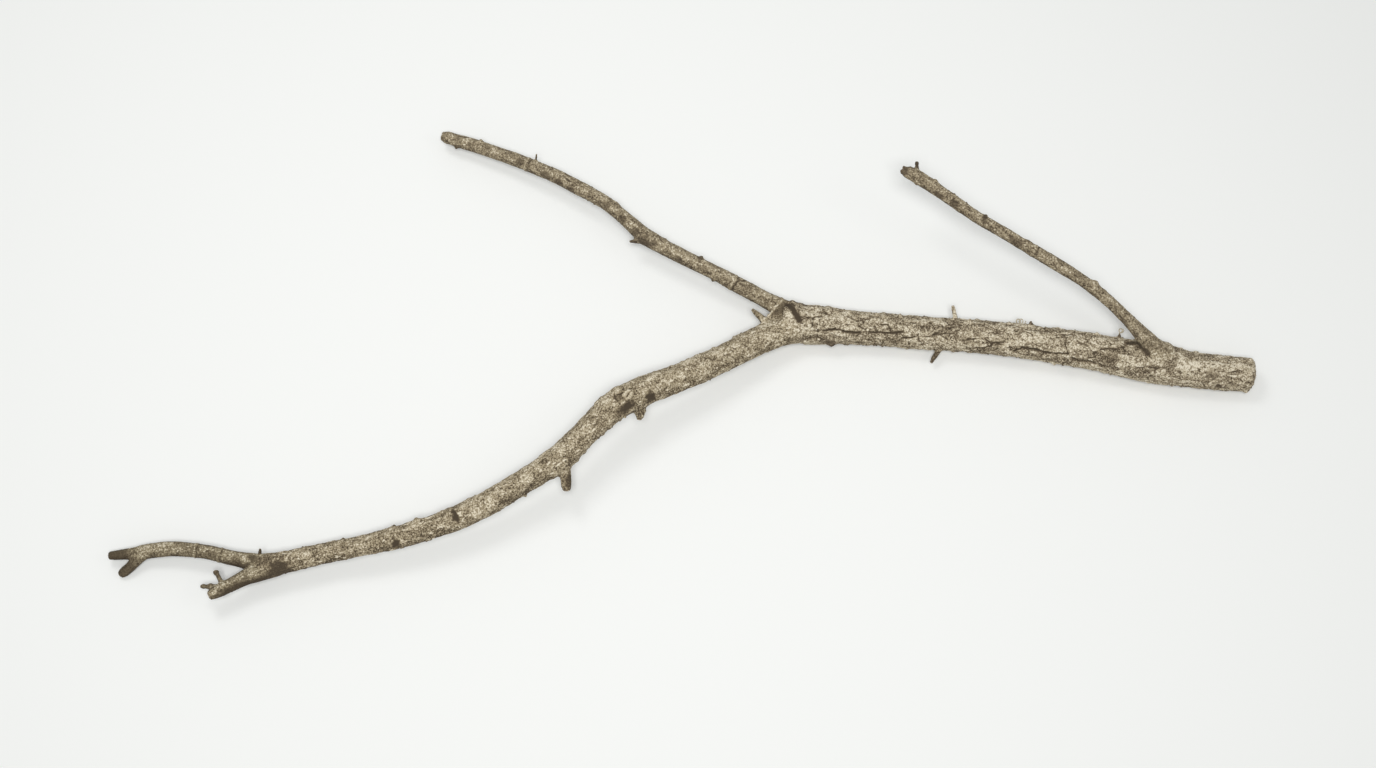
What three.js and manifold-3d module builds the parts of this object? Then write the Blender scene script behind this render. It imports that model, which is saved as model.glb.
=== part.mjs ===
// A fallen tree branch lying on a flat surface, split at its forks into the lengths a saw would make.
// Millimetres, +Z up, the butt end at +X. The origin is on the surface, under the middle of the branch.
import * as THREE from "three";
import { mergeVertices } from "three/addons/utils/BufferGeometryUtils.js";
import Module from "manifold-3d";

const wasm = await Module();
wasm.setup();

// Driving dimensions that all the wood shares.
const FORK_GAP = 0.3; // left between two lengths of wood where they are split at a fork
const END_ROUNDING = 3; // length over which a broken end is worn back
const END_WEAR = 0.78; // radius left at the very end, as a share of the radius behind it
const SPUR_SIDES = 8;
const SURFACE = { width: 1200, depth: 700, height: 300 }; // the room above the surface that it lies on

// Every length of wood follows stations along its heart, from its thick end to its thin end.
// A station is [x, y, z, radius]. A spur is a snapped twiglet: [base, tip, base radius, tip radius].
const WOOD = {
  stem: {
    stations: [
      [495, -16, 15.4, 14.6],
      [447, -12, 15.3, 15.8],
      [404, -5, 16.6, 17],
      [345, 7.5, 17, 15.9],
      [274, 17.5, 16.5, 14.7],
      [230, 21.5, 16.2, 14.2],
      [186, 25, 16, 14.8],
      [142, 29, 15.6, 14.9],
      [106, 31.5, 16.5, 17],
      [83, 33, 19.5, 14.6],
    ],
    spurs: [
      [[236, 27, 22], [233, 42, 28], 1.8, 1.2],
      [[223, 13, 13], [215, 0, 9], 2, 1.4],
      [[300, 22, 24], [300, 31, 30], 1.8, 0.9],
      [[376, 10, 25], [378, 22, 31], 1.6, 1],
      [[94, 35, 24], [91, 43, 33], 9, 7],
    ],
    sides: 20,
    steps: 40,
    grows_from: [],
    colour: "#978b76",
  },
  lower_limb: {
    stations: [
      [98, 30, 18.5, 12.4],
      [64, 14, 24, 12.6],
      [29, -7, 31, 12.2],
      [-6, -26, 38, 12.2],
      [-40, -42, 44.5, 12.8],
      [-63, -56, 47, 13],
      [-85, -77, 46, 11.8],
      [-109, -101, 43, 11.8],
      [-145, -124, 38, 10.6],
      [-193, -150, 32, 10.8],
      [-250, -168, 27, 9.8],
      [-300, -178, 23.5, 8.8],
      [-335, -185.5, 22, 9.5],
      [-364, -192, 21, 8.6],
    ],
    spurs: [
      [[72, 26, 25], [56, 40, 30], 3.2, 1.3],
      [[82, 34, 24], [69, 36, 25], 6, 3],
    ],
    sides: 18,
    steps: 50,
    grows_from: ["stem"],
    colour: "#958874",
  },
  upper_limb: {
    stations: [
      [92, 38.5, 21, 8.6],
      [54, 59, 26, 7.4],
      [22, 75.5, 30, 6.9],
      [-8, 91.5, 31, 6.9],
      [-36, 108, 31, 7.6],
      [-54, 125, 30, 6.6],
      [-75, 144, 28, 6.6],
      [-107, 164, 26, 6.8],
      [-143, 183, 23, 6.4],
      [-185, 201, 18.5, 6.4],
      [-223.5, 215.8, 15, 6],
    ],
    spurs: [
      [[-34, 106, 29], [-52, 106, 27], 2.6, 0.9],
      [[-137, 181, 25], [-136, 190, 31], 1.2, 0.7],
    ],
    sides: 14,
    steps: 40,
    grows_from: ["stem", "lower_limb"],
    colour: "#8b7e6a",
  },
  side_twig: {
    stations: [
      [420, -8, 20, 10.5],
      [404.5, 4, 33, 8.6],
      [388.5, 17.5, 43, 6.2],
      [368, 35, 52, 5.6],
      [346, 51, 60, 5.8],
      [312, 71, 68, 5.7],
      [255, 104, 77.5, 5.3],
      [212, 133, 83, 5.8],
      [198, 142, 85, 6.4],
      [186, 148, 86, 5],
    ],
    spurs: [[[199, 145, 85], [199, 155, 87], 1.6, 1.1]],
    sides: 12,
    steps: 34,
    grows_from: ["stem"],
    colour: "#8c806c",
  },
  tip_twig: {
    stations: [
      [-350, -189, 21, 8],
      [-380, -184, 20, 6.5],
      [-406, -177.5, 18, 6],
      [-432, -173.5, 15.5, 6.2],
      [-456, -174, 12.5, 6.4],
      [-472, -176, 11, 4.8],
      [-493.5, -178, 10, 3.7],
    ],
    spurs: [[[-362, -186, 23], [-361, -177, 29], 1.7, 0.9]],
    sides: 12,
    steps: 24,
    grows_from: ["lower_limb"],
    colour: "#7c715e",
  },
  tip_prong: {
    stations: [
      [-462, -175, 12, 5],
      [-474, -186, 7, 4.4],
      [-484, -193, 2.5, 4],
    ],
    spurs: [],
    sides: 12,
    steps: 9,
    grows_from: ["tip_twig"],
    colour: "#7c715e",
  },
  tip_stub: {
    stations: [
      [-350, -189, 21, 8.5],
      [-378, -203, 22, 6.3],
      [-392, -211, 23, 5.6],
      [-403, -217, 24, 4.4],
    ],
    spurs: [
      [[-391, -208, 23], [-398, -196, 25], 2.4, 1.6],
      [[-394, -209, 23], [-410, -208, 22], 2.6, 1.2],
    ],
    sides: 12,
    steps: 12,
    grows_from: ["lower_limb", "tip_twig"],
    colour: "#7c715e",
  },
  bend_stub: {
    stations: [
      [-109, -100, 43, 6.5],
      [-104, -115, 38, 5],
      [-103, -128, 34, 4.4],
    ],
    spurs: [],
    sides: 12,
    steps: 9,
    grows_from: ["lower_limb"],
    colour: "#8b7e6a",
  },
  knee_stub: {
    stations: [
      [-47, -46, 45, 6.5],
      [-41, -57, 40, 4.9],
      [-42, -65, 37, 3.2],
    ],
    spurs: [],
    sides: 12,
    steps: 8,
    grows_from: ["lower_limb"],
    colour: "#8b7e6a",
  },
};

// The curve along the heart of a length of wood, and its radius at any place along that curve.
function spineOf(stations) {
  const heart = new THREE.CatmullRomCurve3(stations.map(([x, y, z]) => new THREE.Vector3(x, y, z)));
  const profile = new THREE.SplineCurve(stations.map((s, i) => new THREE.Vector2(i, s[3])));
  return { heart, radiusAt: (along) => profile.getPoint(heart.getUtoTmapping(along)).y };
}

// A cylinder bent along the heart, with its ends worn round. Grown, it is thicker and longer all round.
function lengthOfWood({ stations, sides, steps }, grown = 0) {
  const { heart, radiusAt } = spineOf(stations);
  const rounding = END_ROUNDING / heart.getLength();
  const frames = heart.computeFrenetFrames(steps);
  const cylinder = new THREE.CylinderGeometry(1, 1, steps, sides, steps);
  const place = cylinder.getAttribute("position");
  const point = new THREE.Vector3();
  for (let i = 0; i < place.count; i++) {
    point.fromBufferAttribute(place, i);
    const ring = Math.round(point.y + steps / 2);
    const atEnd = ring === 0 || ring === steps;
    const between = (ring - 1) / (steps - 2);
    const along = atEnd ? ring / steps : THREE.MathUtils.lerp(rounding, 1 - rounding, between);
    const radius = radiusAt(along) * (atEnd ? END_WEAR : 1) + grown;
    const across = frames.binormals[ring].clone().multiplyScalar(point.x * radius);
    across.addScaledVector(frames.normals[ring], point.z * radius);
    const outward = atEnd ? Math.sign(ring - steps / 2) * grown : 0;
    point.copy(heart.getPointAt(along)).add(across).addScaledVector(frames.tangents[ring], outward);
    place.setXYZ(i, point.x, point.y, point.z);
  }
  return cylinder;
}

// A straight tapered twiglet from its base to its snapped tip.
function spur([base, tip, baseRadius, tipRadius], grown = 0) {
  const from = new THREE.Vector3(...base);
  const along = new THREE.Vector3(...tip).sub(from);
  const length = along.length() + grown;
  const cone = new THREE.CylinderGeometry(tipRadius + grown, baseRadius + grown, length, SPUR_SIDES);
  cone.translate(0, length / 2, 0);
  const turn = new THREE.Quaternion().setFromUnitVectors(new THREE.Vector3(0, 1, 0), along.normalize());
  return cone.applyQuaternion(turn).translate(from.x, from.y, from.z);
}

// A closed geometry as a solid that can be joined and cut.
function solid(geometry) {
  geometry.deleteAttribute("normal");
  geometry.deleteAttribute("uv");
  const merged = mergeVertices(geometry);
  const vertProperties = merged.getAttribute("position").array;
  const triVerts = new Uint32Array(merged.getIndex().array);
  return new wasm.Manifold(new wasm.Mesh({ numProp: 3, vertProperties, triVerts }));
}

// A length of wood joined to its spurs.
function woodWithSpurs(wood, grown = 0) {
  const bare = solid(lengthOfWood(wood, grown));
  return wood.spurs.reduce((shape, twiglet) => shape.add(solid(spur(twiglet, grown))), bare);
}

// A solid as a named mesh with the colour of its bark.
function mesh(name, shape, colour) {
  const { vertProperties, triVerts } = shape.getMesh();
  const geometry = new THREE.BufferGeometry();
  geometry.setAttribute("position", new THREE.BufferAttribute(vertProperties, 3));
  geometry.setIndex(new THREE.BufferAttribute(triVerts, 1));
  geometry.computeVertexNormals();
  const bark = new THREE.MeshStandardMaterial({ color: colour, roughness: 0.95, metalness: 0 });
  const made = new THREE.Mesh(geometry, bark);
  made.name = name;
  return made;
}

// What lies on the surface is pressed flat along it, so the branch rests on small flat faces.
const room = new THREE.BoxGeometry(SURFACE.width, SURFACE.depth, SURFACE.height);
const aboveSurface = solid(room.translate(0, 0, SURFACE.height / 2));

const branch = new THREE.Group();
for (const [name, wood] of Object.entries(WOOD)) {
  const parents = wood.grows_from.map((parent) => woodWithSpurs(WOOD[parent], FORK_GAP));
  const shape = parents.reduce((rest, parent) => rest.subtract(parent), woodWithSpurs(wood));
  branch.add(mesh(name, shape.intersect(aboveSurface), wood.colour));
}

export default branch;
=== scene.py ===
import math

import bmesh
import bpy
import numpy as np
from mathutils import Matrix, Vector, kdtree, noise


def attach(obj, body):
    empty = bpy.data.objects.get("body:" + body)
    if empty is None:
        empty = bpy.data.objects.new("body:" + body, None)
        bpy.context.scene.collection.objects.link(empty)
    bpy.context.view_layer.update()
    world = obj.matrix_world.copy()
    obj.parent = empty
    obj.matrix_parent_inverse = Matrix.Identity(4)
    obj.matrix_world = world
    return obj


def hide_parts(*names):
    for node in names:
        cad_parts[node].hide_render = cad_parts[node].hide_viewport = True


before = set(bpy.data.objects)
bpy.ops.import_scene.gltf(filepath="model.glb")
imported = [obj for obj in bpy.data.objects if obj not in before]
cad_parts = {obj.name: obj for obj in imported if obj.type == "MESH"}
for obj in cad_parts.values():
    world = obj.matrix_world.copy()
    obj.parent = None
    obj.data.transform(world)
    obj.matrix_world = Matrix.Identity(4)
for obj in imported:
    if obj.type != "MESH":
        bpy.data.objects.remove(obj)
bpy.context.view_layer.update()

# Noise vectors are taken at offsets that change from run to run unless they are seeded.
noise.seed_set(11)

# The wood is grown in millimetres and turned to metres when its pieces are made.
MM = 0.001
FACE_SIZE = 0.76  # of the mesh of the wood
HEART_STEP = 1.5  # between two samples along the heart of a limb
RING_STEP = 3  # samples between two rings of a limb's first shape
END_WEAR = 0.78  # radius left at a broken end, as a share of the radius behind it
FAR = 1000.0  # stands for any distance too great to matter
CURVE_STEP = 0.02  # share of the way between two stations, on the first fine curve through them
LIMB_SIDES = 32  # corners of the round outline that a limb is first grown with
SPUR_SIDES = 12
CURL_SIDES = 8

# Every length of wood follows stations along its heart, from its thick end to its thin end.
# A station is (x, y, z, radius).
# A spur is a snapped twiglet: (base, tip, base radius, tip radius, lightness).
WOOD = {
    "stem": {
        "stations": [
            (495, -16, 15.4, 14.6),
            (447, -12, 15.3, 15.8),
            (404, -5, 16.6, 17),
            (345, 7.5, 17, 15.9),
            (274, 17.5, 16.5, 14.7),
            (230, 21.5, 16.2, 14.2),
            (186, 25, 16, 14.8),
            (142, 29, 15.6, 14.9),
            (106, 31.5, 16.5, 17),
            (83, 33, 19.5, 14.6),
        ],
        "spurs": [
            ((236, 27, 22), (232, 44, 29), 2.2, 1.8, 0.8),
            ((223, 13, 13), (213.5, -2, 8), 2.7, 2.1, 0.08),
            ((300, 22, 24), (300, 29.5, 28.5), 3.4, 1.6, 0.05),
            ((376, 10, 25), (377, 18.5, 28.5), 2.8, 1.5, 0.05),
            ((94, 35, 24), (91, 43, 33), 9, 7, 0.5),
        ],
        "bark": "fissured",
    },
    "lower_limb": {
        "stations": [
            (98, 30, 18.5, 12.4),
            (64, 14, 24, 12.6),
            (29, -7, 31, 12.2),
            (-6, -26, 38, 12.2),
            (-40, -42, 44.5, 12.8),
            (-63, -56, 47, 13),
            (-85, -77, 46, 11.8),
            (-109, -101, 43, 11.8),
            (-145, -124, 38, 10.6),
            (-193, -150, 32, 10.8),
            (-250, -168, 27, 9.8),
            (-300, -178, 23.5, 8.8),
            (-335, -185.5, 22, 9.5),
            (-364, -192, 21, 8.6),
        ],
        "spurs": [
            ((72, 26, 25), (56, 40, 30), 4.2, 2.1, 0.3),
            ((82, 34, 24), (69, 36, 25), 5.2, 2.6, 0.4),
        ],
        "bark": "ridged",
    },
    "upper_limb": {
        "stations": [
            (92, 38.5, 21, 8.6),
            (54, 59, 26, 7.4),
            (22, 75.5, 30, 6.9),
            (-8, 91.5, 31, 6.9),
            (-36, 108, 31, 7.6),
            (-54, 125, 30, 6.6),
            (-75, 144, 28, 6.6),
            (-107, 164, 26, 6.8),
            (-143, 183, 23, 6.4),
            (-185, 201, 18.5, 6.4),
            (-223.5, 215.8, 15, 6),
        ],
        "spurs": [
            ((-34, 106, 29), (-52, 106, 27), 3.4, 1.4, 0.1),
            ((-137, 181, 25), (-136, 190, 31), 1.5, 1.0, 0.2),
        ],
        "bark": "mottled",
    },
    "side_twig": {
        "stations": [
            (420, -8, 20, 10.5),
            (404.5, 4, 33, 8.6),
            (388.5, 17.5, 43, 6.2),
            (368, 35, 52, 5.6),
            (346, 51, 60, 5.8),
            (312, 71, 68, 5.7),
            (255, 104, 77.5, 5.3),
            (212, 133, 83, 5.8),
            (198, 142, 85, 6.4),
            (186, 148, 86, 5),
        ],
        "spurs": [((199, 145, 85), (199, 155, 87), 2.2, 1.7, 0.1)],
        "bark": "mottled",
    },
    "tip_twig": {
        "stations": [
            (-350, -189, 21, 8),
            (-380, -184, 20, 6.5),
            (-406, -177.5, 18, 6),
            (-432, -173.5, 15.5, 6.2),
            (-456, -174, 12.5, 6.4),
            (-472, -176, 11, 4.8),
            (-493.5, -178, 10, 3.7),
        ],
        "spurs": [((-362, -186, 23), (-361, -177, 29), 1.7, 1.2, 0.05)],
        "bark": "wrinkled",
    },
    "tip_prong": {
        "stations": [
            (-462, -175, 12, 5),
            (-474, -186, 7, 4.4),
            (-484, -193, 2.5, 4),
        ],
        "spurs": [],
        "bark": "wrinkled",
    },
    "tip_stub": {
        "stations": [
            (-350, -189, 21, 8.5),
            (-378, -203, 22, 6.3),
            (-392, -211, 23, 5.6),
            (-403, -217, 24, 4.4),
        ],
        "spurs": [
            ((-391, -208, 23), (-398, -196, 25), 2.2, 1.8, 0.3),
            ((-394, -209, 23), (-410, -208, 22), 2.7, 1.3, 0.25),
        ],
        "bark": "wrinkled",
    },
    "bend_stub": {
        "stations": [
            (-109, -100, 43, 6.5),
            (-104, -115, 38, 5),
            (-103, -128, 34, 4.4),
        ],
        "spurs": [],
        "bark": "ridged",
    },
    "knee_stub": {
        "stations": [
            (-47, -46, 45, 6.5),
            (-41, -57, 40, 4.9),
            (-42, -65, 37, 3.2),
        ],
        "spurs": [],
        "bark": "ridged",
    },
}


def smooth_rise(low, high, value):
    """0 below low, 1 above high, and a smooth rise between them."""
    share = np.clip((value - low) / (high - low), 0, 1)
    return share * share * (3 - 2 * share)


def heart_of(stations, step=HEART_STEP):
    """The smooth curve through the stations, sampled evenly, with a frame that does not twist along it."""
    knots = np.array(stations, float)
    knots = np.vstack([2 * knots[0] - knots[1], knots, 2 * knots[-1] - knots[-2]])
    gaps = np.sqrt(np.linalg.norm(np.diff(knots[:, :3], axis=0), axis=1))
    fine = []
    for i in range(1, len(knots) - 2):
        before, here, there, after = knots[i - 1 : i + 3]
        a, b, c = gaps[i - 1 : i + 2]
        leave = b * ((here - before) / a - (there - before) / (a + b) + (there - here) / b)
        arrive = b * ((there - here) / b - (after - here) / (b + c) + (after - there) / c)
        for t in np.arange(0, 1, CURVE_STEP):
            fine.append(
                (2 * t**3 - 3 * t**2 + 1) * here
                + (t**3 - 2 * t**2 + t) * leave
                + (3 * t**2 - 2 * t**3) * there
                + (t**3 - t**2) * arrive
            )
    fine.append(knots[-2])
    fine = np.array(fine)
    run = np.concatenate([[0], np.cumsum(np.linalg.norm(np.diff(fine[:, :3], axis=0), axis=1))])
    along = np.linspace(0, run[-1], max(4, int(run[-1] / step) + 1))
    place = np.column_stack([np.interp(along, run, fine[:, k]) for k in range(3)])
    radius = np.interp(along, run, fine[:, 3])
    ahead = np.gradient(place, axis=0)
    ahead /= np.linalg.norm(ahead, axis=1)[:, None]
    upward = np.zeros_like(ahead)
    last = np.array([0, 0, 1.0])
    for i, way in enumerate(ahead):
        last = last - last.dot(way) * way
        last = last / np.linalg.norm(last)
        upward[i] = last
    sideways = np.cross(ahead, upward)
    return dict(along=along, place=place, radius=radius, ahead=ahead, upward=upward, sideways=sideways)


def ring_place(heart, i, wear=1.0):
    """The matrix that takes a unit circle to the limb's outline at a sample of its heart."""
    turn = Matrix((heart["sideways"][i], heart["upward"][i], heart["ahead"][i])).transposed().to_4x4()
    turn.translation = Vector(heart["place"][i])
    return turn @ Matrix.Scale(heart["radius"][i] * wear, 4)


def grow(bm, heart, sides):
    """Extrudes a round outline along a heart, ring by ring, with both ends closed and worn."""
    count = len(heart["along"])
    stops = list(range(0, count - 1, RING_STEP)) + [count - 1]
    places = [ring_place(heart, i, END_WEAR if i in (0, count - 1) else 1.0) for i in stops]
    start = bmesh.ops.create_circle(bm, cap_ends=True, segments=sides, radius=1, matrix=places[0])
    ring = list(dict.fromkeys(e for v in start["verts"] for e in v.link_edges))
    for before, after in zip(places, places[1:]):
        grown = bmesh.ops.extrude_edge_only(bm, edges=ring)["geom"]
        corners = [g for g in grown if isinstance(g, bmesh.types.BMVert)]
        bmesh.ops.transform(bm, matrix=after @ before.inverted(), verts=corners)
        inside = set(corners)
        ring = [g for g in grown if isinstance(g, bmesh.types.BMEdge) and set(g.verts) <= inside]
    bmesh.ops.holes_fill(bm, edges=ring, sides=0)


def spur_heart(spur):
    """A spur as a short straight heart from its base to its tip."""
    base, tip, thick, thin, _ = spur
    base = np.array(base, float)
    tip = np.array(tip, float)
    between = [(*(base + (tip - base) * t), thick + (thin - thick) * t) for t in (0, 1 / 3, 2 / 3, 1)]
    return heart_of(between)


# Each growth is a limb or one of its spurs, with the limb that it belongs to.
GROWTHS = []
for limb_name, limb in WOOD.items():
    GROWTHS.append({"limb": limb_name, "heart": heart_of(limb["stations"]), "spur": False, "light": 0.5})
    for spur in limb["spurs"]:
        GROWTHS.append({"limb": limb_name, "heart": spur_heart(spur), "spur": True, "light": spur[4]})

# The growth that is each limb itself, without its spurs.
LIMB_GROWTH = {growth["limb"]: k for k, growth in enumerate(GROWTHS) if not growth["spur"]}


def whole_skin():
    """One closed skin round all the wood, in millimetres."""
    bm = bmesh.new()
    for growth in GROWTHS:
        grow(bm, growth["heart"], SPUR_SIDES if growth["spur"] else LIMB_SIDES)
    bmesh.ops.recalc_face_normals(bm, faces=bm.faces)
    rough = bpy.data.meshes.new("rough_wood")
    bm.to_mesh(rough)
    bm.free()
    holder = bpy.data.objects.new("rough_wood", rough)
    bpy.context.scene.collection.objects.link(holder)
    net = holder.modifiers.new("skin", "REMESH")
    net.mode = "VOXEL"
    net.voxel_size = FACE_SIZE
    skinned = holder.evaluated_get(bpy.context.evaluated_depsgraph_get())
    made = bpy.data.meshes.new_from_object(skinned)
    bpy.data.objects.remove(holder)
    bpy.data.meshes.remove(rough)
    return made


def column_of(things, name, kind, width=1):
    """One property of all the vertices, edges, loops or faces of a mesh, as an array."""
    values = np.empty(len(things) * width, kind)
    things.foreach_get(name, values)
    return values.reshape(-1, width) if width > 1 else values


skin = whole_skin()
COUNT = len(skin.vertices)
place = column_of(skin.vertices, "co", np.float32, 3).astype(float)
edges = column_of(skin.edges, "vertices", np.int32, 2)
links = np.bincount(edges.ravel(), minlength=COUNT)


def neighbour_mean(values):
    """The mean of each vertex's neighbours, for a column of values or for several."""
    if values.ndim > 1:
        return np.column_stack([neighbour_mean(values[:, k]) for k in range(values.shape[1])])
    total = np.bincount(edges[:, 0], values[edges[:, 1]], COUNT)
    total += np.bincount(edges[:, 1], values[edges[:, 0]], COUNT)
    return total / np.maximum(links, 1)


def outward_now():
    """The outward direction at each vertex as the skin is now."""
    skin.vertices.foreach_set("co", place.astype(np.float32).ravel())
    skin.update()
    return column_of(skin.vertices, "normal", np.float32, 3).astype(float)


def survey(growth, margin=16):
    """Where the vertices near a growth are: along it, round it, out from its heart and outside its wood."""
    heart = growth["heart"]
    reach = margin + heart["radius"].max()
    low = heart["place"].min(axis=0) - reach
    high = heart["place"].max(axis=0) + reach
    near = np.flatnonzero(((place > low) & (place < high)).all(axis=1))
    tree = kdtree.KDTree(len(heart["place"]))
    for i, spot in enumerate(heart["place"]):
        tree.insert(spot, i)
    tree.balance()
    closest = np.array([tree.find(spot)[1] for spot in place[near]], int)
    offset = place[near] - heart["place"][closest]
    ahead = (offset * heart["ahead"][closest]).sum(axis=1)
    out = offset - ahead[:, None] * heart["ahead"][closest]
    last = len(heart["place"]) - 1
    past = np.where(closest == last, np.maximum(ahead, 0), np.where(closest == 0, np.maximum(-ahead, 0), 0))
    along = heart["along"][closest] + np.clip(ahead, -HEART_STEP, HEART_STEP)
    radius = np.interp(along, heart["along"], heart["radius"])
    outside = np.maximum(np.linalg.norm(out, axis=1) - radius, past)
    angle = np.arctan2(
        (out * heart["upward"][closest]).sum(axis=1), (out * heart["sideways"][closest]).sum(axis=1)
    )
    full = {name: np.zeros(COUNT) for name in ("along", "angle", "out")}
    full["along"][near] = along
    full["angle"][near] = angle
    full["out"][near] = np.linalg.norm(out, axis=1)
    full["ahead"] = np.zeros((COUNT, 3))
    full["ahead"][near] = heart["ahead"][closest]
    full["outside"] = np.full(COUNT, FAR)
    full["outside"][near] = outside
    return full


surveys = [survey(growth) for growth in GROWTHS]
outside = np.array([s["outside"] for s in surveys])
order = np.argsort(outside, axis=0)
nearest = order[0]
second = order[1]
every = np.arange(COUNT)
gap_to_second = outside[second, every] - outside[nearest, every]
base_radius = np.array([g["heart"]["radius"][0] for g in GROWTHS])

# Where two growths meet, the wood swells into the corner between them, and the corner is smoothed.
SWELL_SHARE = 0.3  # of the thinner growth's radius
SWELL_LEAST = 0.35
SWELL_MOST = 3.2
CORNER_REACH = 2.2  # how far the smoothing reaches, in swellings
CORNER_ROUNDS = 14  # of smoothing
thinner = np.minimum(base_radius[nearest], base_radius[second])
corner = np.clip(SWELL_SHARE * thinner, SWELL_LEAST, SWELL_MOST)
swelling = corner * np.log1p(np.exp(-np.clip(gap_to_second / corner, 0, 30)))
swelling[gap_to_second > FAR / 2] = 0
place += outward_now() * swelling[:, None]
corner_share = np.exp(-((gap_to_second / (CORNER_REACH * corner)) ** 2))
for _ in range(CORNER_ROUNDS):
    place += (neighbour_mean(place) - place) * (0.5 * corner_share)[:, None]

LIMBS = list(WOOD)
limb_of_growth = np.array([LIMBS.index(g["limb"]) for g in GROWTHS])
spur_growth = np.array([g["spur"] for g in GROWTHS])

# Each vertex belongs to the limb whose wood is nearest, with the line between two limbs made even.
NOT_NEAR = 20  # mm past which it doesn't matter how far away a limb is
EVEN_ROUNDS = 6  # of smoothing
limb_outside = np.array([outside[limb_of_growth == i].min(axis=0) for i in range(len(LIMBS))])
even_outside = np.minimum(limb_outside, NOT_NEAR).T
for _ in range(EVEN_ROUNDS):
    even_outside = neighbour_mean(even_outside)
owner = even_outside.argmin(axis=1)


def chance(spot):
    """An even chance from 0 to 1 that stays the same for one spot."""
    return 0.5 + 0.5 * noise.cell(spot * 37.1)


def plate_at(along, a, b, long, wide):
    """The bark plate at a place: how far its edge is in mm, its chance, and how far it tilts up there."""
    spot = Vector((along / long, a / wide, b / wide))
    spot += 0.42 * noise.noise_vector(spot * 1.3)
    gaps, centres = noise.voronoi(spot)
    apart = centres[1] - centres[0]
    slope = Vector((apart.x / long, apart.y / wide, apart.z / wide))
    out = Vector((0, a, b)).normalized()
    steep = (slope - slope.dot(out) * out).length
    edge = (gaps[1] ** 2 - gaps[0] ** 2) / (2 * max(steep, 1e-3))
    tilt = (spot - centres[0]).dot(noise.cell_vector(centres[0] * 11.7) - Vector((0.5, 0.5, 0.5)))
    return edge, chance(centres[0]), tilt


def grain_at(along, a, b, long, wide):
    """The grain of bark at a place: 1 at its middle and 0 at its edge, and its chance."""
    gaps, centres = noise.voronoi(Vector((along / long, a / wide, b / wide)))
    return max(0, 1 - gaps[0] / 0.6), chance(centres[0])


def gape_at(along, a, b, share):
    """How far the cracks gape at a place, from 0 to 1."""
    return min(max(share + 1.6 * noise.noise(Vector((along / 20 + 9, a / 9, b / 9))), 0), 1)


def fleck_of(middle, lot, pale, dark):
    """Chance flecks: 1 on a pale grain, -1 on a dark one."""
    if lot < pale:
        return min(1, 2 * middle)
    return -min(1, 2 * middle) if lot > 1 - dark else 0.0


# In the patterns of bark, an offset such as along + 500 takes a second pattern from elsewhere, so that it
# doesn't follow the first.
def fissured_bark(along, a, b):
    """Thick corky bark in long plates with open cracks: (height in mm, lightness, crack, fleck)."""
    edge, plate, tilt = plate_at(along, a, b, 17, 6.5)
    gape = gape_at(along, a, b, 0.5)
    crack = max(0, 1 - edge / (0.8 + 0.25 * gape)) * (0.3 + 0.7 * gape)
    fine_edge, scale, fine_tilt = plate_at(along + 500, a, b, 8, 3.4)
    crack = max(crack, max(0, 1 - fine_edge / 0.7) * 0.5 * (scale > 0.55))
    crack *= min(max(0.7 + 1.5 * noise.noise(Vector((along / 4, a / 3, b / 3))), 0), 1.1)
    middle, lot = grain_at(along, a, b, 2.3, 1.8)
    fleck = fleck_of(middle, lot, 0.03, 0.04)
    grit = noise.noise(Vector((along / 1.3, a, b)) / 1.35)
    swell = noise.noise(Vector((along / 42, a / 20, b / 20)))
    lump = noise.noise(Vector((along / 6, a / 5, b / 5)))
    height = plate * 0.55 + tilt * 0.95 + scale * 0.25 + fine_tilt * 0.35 + middle * 0.25 + grit * 0.12
    height += swell * 0.9 + lump * 0.7 - 0.6 - 1.2 * crack - 0.8 * min(fleck, 0)
    wart, odds = grain_at(along + 700, a, b, 6.5, 5.5)
    height += 1.3 * wart * wart * (3 - 2 * wart) * (odds < 0.3)
    # The tilts that raise one side of each plate, large and small, also paint that side lighter and the low
    # side darker: painted light.
    light = 0.7 * plate + 0.8 * tilt + 0.4 * scale + 0.5 * fine_tilt + 0.1 * middle + 0.15 * grit
    return height, light, crack, fleck


def ridged_bark(along, a, b):
    """Thin bark in short ridges along the limb: (height in mm, lightness, crack, fleck)."""
    edge, plate, tilt = plate_at(along, a, b, 8, 3.6)
    gape = gape_at(along, a, b, 0.3)
    crack = max(0, 1 - edge / 0.8) * (0.15 + 0.55 * gape)
    middle, lot = grain_at(along, a, b, 2.3, 1.9)
    dash, dash_lot = grain_at(along + 900, a, b, 6.5, 2.1)
    fleck = fleck_of(middle, lot, 0.03, 0.015) or fleck_of(dash, dash_lot, 0.07, 0)
    grit = noise.noise(Vector((along / 1.2, a, b)) / 1.3)
    lump = noise.noise(Vector((along / 9, a / 6, b / 6)))
    swell = noise.noise(Vector((along / 40, a / 16, b / 16)))
    height = plate * 0.4 + tilt * 0.6 + middle * 0.25 + lump * 0.6 + swell * 0.7 + grit * 0.12
    height += -0.5 - 0.9 * crack - 0.7 * min(fleck, 0)
    wart, odds = grain_at(along + 700, a, b, 6, 5)
    height += 0.9 * wart * wart * (3 - 2 * wart) * (odds < 0.25)
    # The tilt that raises one side of each ridge also paints that side lighter and the low side darker:
    # painted light.
    light = 0.35 * plate + 0.35 * tilt + 0.35 * middle * (lot - 0.3) + 0.25 * grit + 0.4 * lump
    return height, light, crack, fleck


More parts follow.
